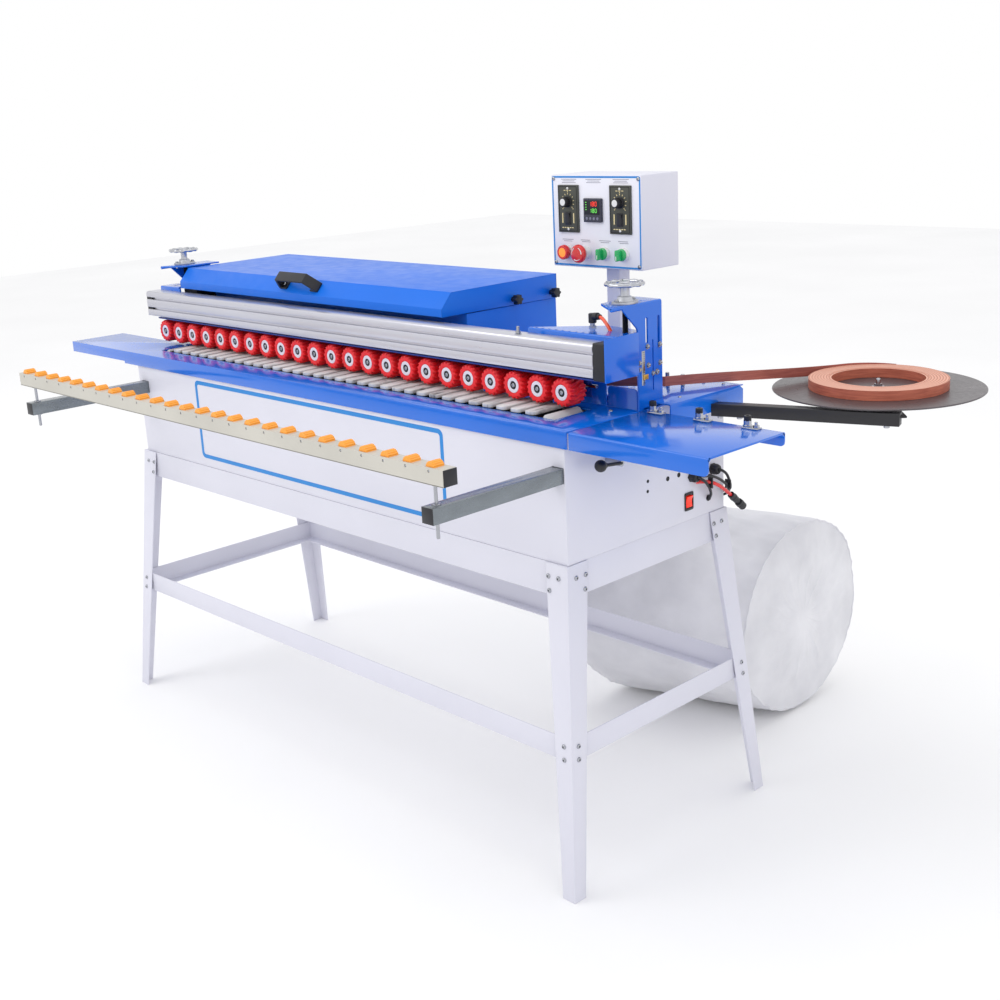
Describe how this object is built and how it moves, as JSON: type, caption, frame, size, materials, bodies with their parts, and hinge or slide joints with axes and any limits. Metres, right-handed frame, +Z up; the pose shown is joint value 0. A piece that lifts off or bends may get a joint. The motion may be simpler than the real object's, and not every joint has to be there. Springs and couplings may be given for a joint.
{
  "type": "edge banding machine",
  "caption": "Bench edge bander: slatted conveyor table on a sheet cabinet and angle stand, bank of pressure rollers on a lifting beam, hood, control box, tape reel, pull-out roller rail.",
  "frame": {"origin": "middle of the machine's overall footprint, on the floor under the feet", "axes": "+X along the feed from the left table to the reel, +Y from the operator to the back, +Z up"},
  "size_m": [2.385, 1.557, 1.383],
  "materials": {
    "white_paint": "light grey-white powder coat, semi-gloss",
    "blue_paint": "blue powder coat, glossy",
    "extruded_aluminium": "satin anodised extrusion",
    "polished_steel": "polished casting",
    "red_rubber": "moulded red polyurethane with lugs, satin",
    "red_plastic": "red gloss",
    "green_plastic": "green gloss",
    "black_plastic": "black, satin",
    "black_paint": "black powder coat, satin",
    "disc_paint": "dark brown-grey, semi-gloss",
    "edge_tape": "brown wood-look PVC edging, matte",
    "galvanised_steel": "galvanised, satin",
    "beige_paint": "beige powder coat, satin",
    "slat_pad": "pale grey rubber pads, scuffed",
    "bag_cloth": "white non-woven filter cloth, matte",
    "cable_jacket": "black, satin"
  },
  "bodies": {
    "root": {"leg_front_right": "white_paint", "leg_front_left": "white_paint", "leg_rear_right": "white_paint", "leg_rear_left": "white_paint", "stand_upper_frame": "white_paint", "stand_lower_frame": "white_paint", "cabinet": "white_paint", "main_table": "blue_paint", "right_table": "blue_paint", "conveyor_chain": "slat_pad", "rear_housing": "blue_paint", "tower_right": "blue_paint", "tower_left": "blue_paint", "control_box": "white_paint", "reel_arm": "black_paint", "tape_strip": "edge_tape", "tape_tray": "blue_paint", "line_bundle": "cable_jacket", "dust_bag": "bag_cloth"},
    "beam": {"pressure_beam": "extruded_aluminium", "roller_carrier": "blue_paint"},
    "roller_01": {"pressure_roller_01": "red_rubber"},
    "roller_02": {"pressure_roller_02": "red_rubber"},
    "roller_03": {"pressure_roller_03": "red_rubber"},
    "roller_04": {"pressure_roller_04": "red_rubber"},
    "roller_05": {"pressure_roller_05": "red_rubber"},
    "roller_06": {"pressure_roller_06": "red_rubber"},
    "roller_07": {"pressure_roller_07": "red_rubber"},
    "roller_08": {"pressure_roller_08": "red_rubber"},
    "roller_09": {"pressure_roller_09": "red_rubber"},
    "roller_10": {"pressure_roller_10": "red_rubber"},
    "roller_11": {"pressure_roller_11": "red_rubber"},
    "roller_12": {"pressure_roller_12": "red_rubber"},
    "roller_13": {"pressure_roller_13": "red_rubber"},
    "roller_14": {"pressure_roller_14": "red_rubber"},
    "roller_15": {"pressure_roller_15": "red_rubber"},
    "roller_16": {"pressure_roller_16": "red_rubber"},
    "roller_17": {"pressure_roller_17": "red_rubber"},
    "roller_18": {"pressure_roller_18": "red_rubber"},
    "roller_19": {"pressure_roller_19": "red_rubber"},
    "roller_20": {"pressure_roller_20": "red_rubber"},
    "roller_21": {"pressure_roller_21": "red_rubber"},
    "roller_22": {"pressure_roller_22": "red_rubber"},
    "roller_23": {"pressure_roller_23": "red_rubber"},
    "wheel_right": {"handwheel_right": "polished_steel"},
    "wheel_left": {"handwheel_left": "polished_steel"},
    "hood": {"hood_lid": "blue_paint"},
    "start": {"start_button": "red_plastic"},
    "stop": {"emergency_stop": "red_plastic"},
    "select_left": {"selector_left": "green_plastic"},
    "select_right": {"selector_right": "green_plastic"},
    "knob_left": {"speed_knob_left": "black_plastic"},
    "knob_right": {"speed_knob_right": "black_plastic"},
    "rocker": {"power_rocker": "red_plastic"},
    "reel": {"reel_disc": "disc_paint", "tape_roll": "edge_tape"},
    "outrigger": {"support_arm_left": "galvanised_steel", "support_arm_right": "galvanised_steel"},
    "rail": {"roller_rail": "beige_paint"},
    "lever": {"clamp_lever": "black_plastic"}
  },
  "joints": [
    {"name": "beam_lift", "type": "slide", "parent": "root", "child": "beam", "axis": [0, 0, 1], "range_m": [0, 0.04]},
    {"name": "roller_spin_01", "type": "hinge", "parent": "beam", "child": "roller_01", "pos_m": [0.6025, -0.3105, 0.9866], "axis": [0, 1, 0], "continuous": true},
    {"name": "roller_spin_02", "type": "hinge", "parent": "beam", "child": "roller_02", "pos_m": [0.5354, -0.3105, 0.9866], "axis": [0, 1, 0], "continuous": true},
    {"name": "roller_spin_03", "type": "hinge", "parent": "beam", "child": "roller_03", "pos_m": [0.4683, -0.3105, 0.9866], "axis": [0, 1, 0], "continuous": true},
    {"name": "roller_spin_04", "type": "hinge", "parent": "beam", "child": "roller_04", "pos_m": [0.4012, -0.3105, 0.9866], "axis": [0, 1, 0], "continuous": true},
    {"name": "roller_spin_05", "type": "hinge", "parent": "beam", "child": "roller_05", "pos_m": [0.3341, -0.3105, 0.9866], "axis": [0, 1, 0], "continuous": true},
    {"name": "roller_spin_06", "type": "hinge", "parent": "beam", "child": "roller_06", "pos_m": [0.267, -0.3105, 0.9866], "axis": [0, 1, 0], "continuous": true},
    {"name": "roller_spin_07", "type": "hinge", "parent": "beam", "child": "roller_07", "pos_m": [0.1999, -0.3105, 0.9866], "axis": [0, 1, 0], "continuous": true},
    {"name": "roller_spin_08", "type": "hinge", "parent": "beam", "child": "roller_08", "pos_m": [0.1328, -0.3105, 0.9866], "axis": [0, 1, 0], "continuous": true},
    {"name": "roller_spin_09", "type": "hinge", "parent": "beam", "child": "roller_09", "pos_m": [0.0657, -0.3105, 0.9866], "axis": [0, 1, 0], "continuous": true},
    {"name": "roller_spin_10", "type": "hinge", "parent": "beam", "child": "roller_10", "pos_m": [-0.0014, -0.3105, 0.9866], "axis": [0, 1, 0], "continuous": true},
    {"name": "roller_spin_11", "type": "hinge", "parent": "beam", "child": "roller_11", "pos_m": [-0.0685, -0.3105, 0.9866], "axis": [0, 1, 0], "continuous": true},
    {"name": "roller_spin_12", "type": "hinge", "parent": "beam", "child": "roller_12", "pos_m": [-0.1356, -0.3105, 0.9866], "axis": [0, 1, 0], "continuous": true},
    {"name": "roller_spin_13", "type": "hinge", "parent": "beam", "child": "roller_13", "pos_m": [-0.2027, -0.3105, 0.9866], "axis": [0, 1, 0], "continuous": true},
    {"name": "roller_spin_14", "type": "hinge", "parent": "beam", "child": "roller_14", "pos_m": [-0.2698, -0.3105, 0.9866], "axis": [0, 1, 0], "continuous": true},
    {"name": "roller_spin_15", "type": "hinge", "parent": "beam", "child": "roller_15", "pos_m": [-0.3369, -0.3105, 0.9866], "axis": [0, 1, 0], "continuous": true},
    {"name": "roller_spin_16", "type": "hinge", "parent": "beam", "child": "roller_16", "pos_m": [-0.404, -0.3105, 0.9866], "axis": [0, 1, 0], "continuous": true},
    {"name": "roller_spin_17", "type": "hinge", "parent": "beam", "child": "roller_17", "pos_m": [-0.4711, -0.3105, 0.9866], "axis": [0, 1, 0], "continuous": true},
    {"name": "roller_spin_18", "type": "hinge", "parent": "beam", "child": "roller_18", "pos_m": [-0.5382, -0.3105, 0.9866], "axis": [0, 1, 0], "continuous": true},
    {"name": "roller_spin_19", "type": "hinge", "parent": "beam", "child": "roller_19", "pos_m": [-0.6053, -0.3105, 0.9866], "axis": [0, 1, 0], "continuous": true},
    {"name": "roller_spin_20", "type": "hinge", "parent": "beam", "child": "roller_20", "pos_m": [-0.6724, -0.3105, 0.9866], "axis": [0, 1, 0], "continuous": true},
    {"name": "roller_spin_21", "type": "hinge", "parent": "beam", "child": "roller_21", "pos_m": [-0.7395, -0.3105, 0.9866], "axis": [0, 1, 0], "continuous": true},
    {"name": "roller_spin_22", "type": "hinge", "parent": "beam", "child": "roller_22", "pos_m": [-0.8066, -0.3105, 0.9866], "axis": [0, 1, 0], "continuous": true},
    {"name": "roller_spin_23", "type": "hinge", "parent": "beam", "child": "roller_23", "pos_m": [-0.8737, -0.3105, 0.9866], "axis": [0, 1, 0], "continuous": true},
    {"name": "wheel_turn_right", "type": "hinge", "parent": "root", "child": "wheel_right", "pos_m": [0.7005, -0.2575, 1.196], "axis": [0, 0, 1], "range_deg": [-3600, 0]},
    {"name": "wheel_turn_left", "type": "hinge", "parent": "root", "child": "wheel_left", "pos_m": [-0.8725, -0.2575, 1.196], "axis": [0, 0, 1], "range_deg": [-3600, 0]},
    {"name": "lid_hinge", "type": "hinge", "parent": "root", "child": "hood", "pos_m": [-0.301, 0.0555, 1.0989], "axis": [-1, 0, 0], "range_deg": [0, 95]},
    {"name": "start_press", "type": "slide", "parent": "root", "child": "start", "axis": [0, 1, 0], "range_m": [0, 0.004], "stiffness_N_per_m": 400, "springref_m": -0.004},
    {"name": "stop_press", "type": "slide", "parent": "root", "child": "stop", "axis": [0, 1, 0], "range_m": [0, 0.005], "stiffness_N_per_m": 500, "springref_m": -0.004},
    {"name": "select_turn_left", "type": "hinge", "parent": "root", "child": "select_left", "pos_m": [0.4661, -0.0595, 1.22], "axis": [0, 1, 0], "range_deg": [0, 90]},
    {"name": "select_turn_right", "type": "hinge", "parent": "root", "child": "select_right", "pos_m": [0.5194, -0.0595, 1.22], "axis": [0, 1, 0], "range_deg": [0, 90]},
    {"name": "speed_turn_left", "type": "hinge", "parent": "root", "child": "knob_left", "pos_m": [0.3665, -0.0605, 1.327], "axis": [0, 1, 0], "range_deg": [0, 270]},
    {"name": "speed_turn_right", "type": "hinge", "parent": "root", "child": "knob_right", "pos_m": [0.5135, -0.0605, 1.327], "axis": [0, 1, 0], "range_deg": [0, 270]},
    {"name": "power_tip", "type": "hinge", "parent": "root", "child": "rocker", "pos_m": [0.707, -0.0795, 0.722], "axis": [0, 1, 0], "range_deg": [-14, 0]},
    {"name": "reel_spin", "type": "hinge", "parent": "root", "child": "reel", "pos_m": [0.9805, 0.1995, 0.947], "axis": [0, 0, 1], "continuous": true},
    {"name": "arms_pull_out", "type": "slide", "parent": "root", "child": "outrigger", "axis": [0, 1, 0], "range_m": [-0.1, 0.26]},
    {"name": "rail_height", "type": "slide", "parent": "outrigger", "child": "rail", "axis": [0, 0, 1], "range_m": [-0.03, 0.03]},
    {"name": "clamp_turn", "type": "hinge", "parent": "root", "child": "lever", "pos_m": [0.7355, -0.3335, 0.866], "axis": [1, 0, 0], "range_deg": [-30, 30]}
  ],
  "couplings": [
    {"joint": "wheel_turn_right", "follows": "beam_lift", "rad_per_m": -1570.8},
    {"joint": "wheel_turn_left", "follows": "beam_lift", "rad_per_m": -1570.8},
    {"joint": "roller_spin_02", "follows": "roller_spin_01", "ratio": 1},
    {"joint": "roller_spin_03", "follows": "roller_spin_01", "ratio": 1},
    {"joint": "roller_spin_04", "follows": "roller_spin_01", "ratio": 1},
    {"joint": "roller_spin_05", "follows": "roller_spin_01", "ratio": 1},
    {"joint": "roller_spin_06", "follows": "roller_spin_01", "ratio": 1},
    {"joint": "roller_spin_07", "follows": "roller_spin_01", "ratio": 1},
    {"joint": "roller_spin_08", "follows": "roller_spin_01", "ratio": 1},
    {"joint": "roller_spin_09", "follows": "roller_spin_01", "ratio": 1},
    {"joint": "roller_spin_10", "follows": "roller_spin_01", "ratio": 1},
    {"joint": "roller_spin_11", "follows": "roller_spin_01", "ratio": 1},
    {"joint": "roller_spin_12", "follows": "roller_spin_01", "ratio": 1},
    {"joint": "roller_spin_13", "follows": "roller_spin_01", "ratio": 1},
    {"joint": "roller_spin_14", "follows": "roller_spin_01", "ratio": 1},
    {"joint": "roller_spin_15", "follows": "roller_spin_01", "ratio": 1},
    {"joint": "roller_spin_16", "follows": "roller_spin_01", "ratio": 1},
    {"joint": "roller_spin_17", "follows": "roller_spin_01", "ratio": 1},
    {"joint": "roller_spin_18", "follows": "roller_spin_01", "ratio": 1},
    {"joint": "roller_spin_19", "follows": "roller_spin_01", "ratio": 1},
    {"joint": "roller_spin_20", "follows": "roller_spin_01", "ratio": 1},
    {"joint": "roller_spin_21", "follows": "roller_spin_01", "ratio": 1},
    {"joint": "roller_spin_22", "follows": "roller_spin_01", "ratio": 1},
    {"joint": "roller_spin_23", "follows": "roller_spin_01", "ratio": 1}
  ]
}
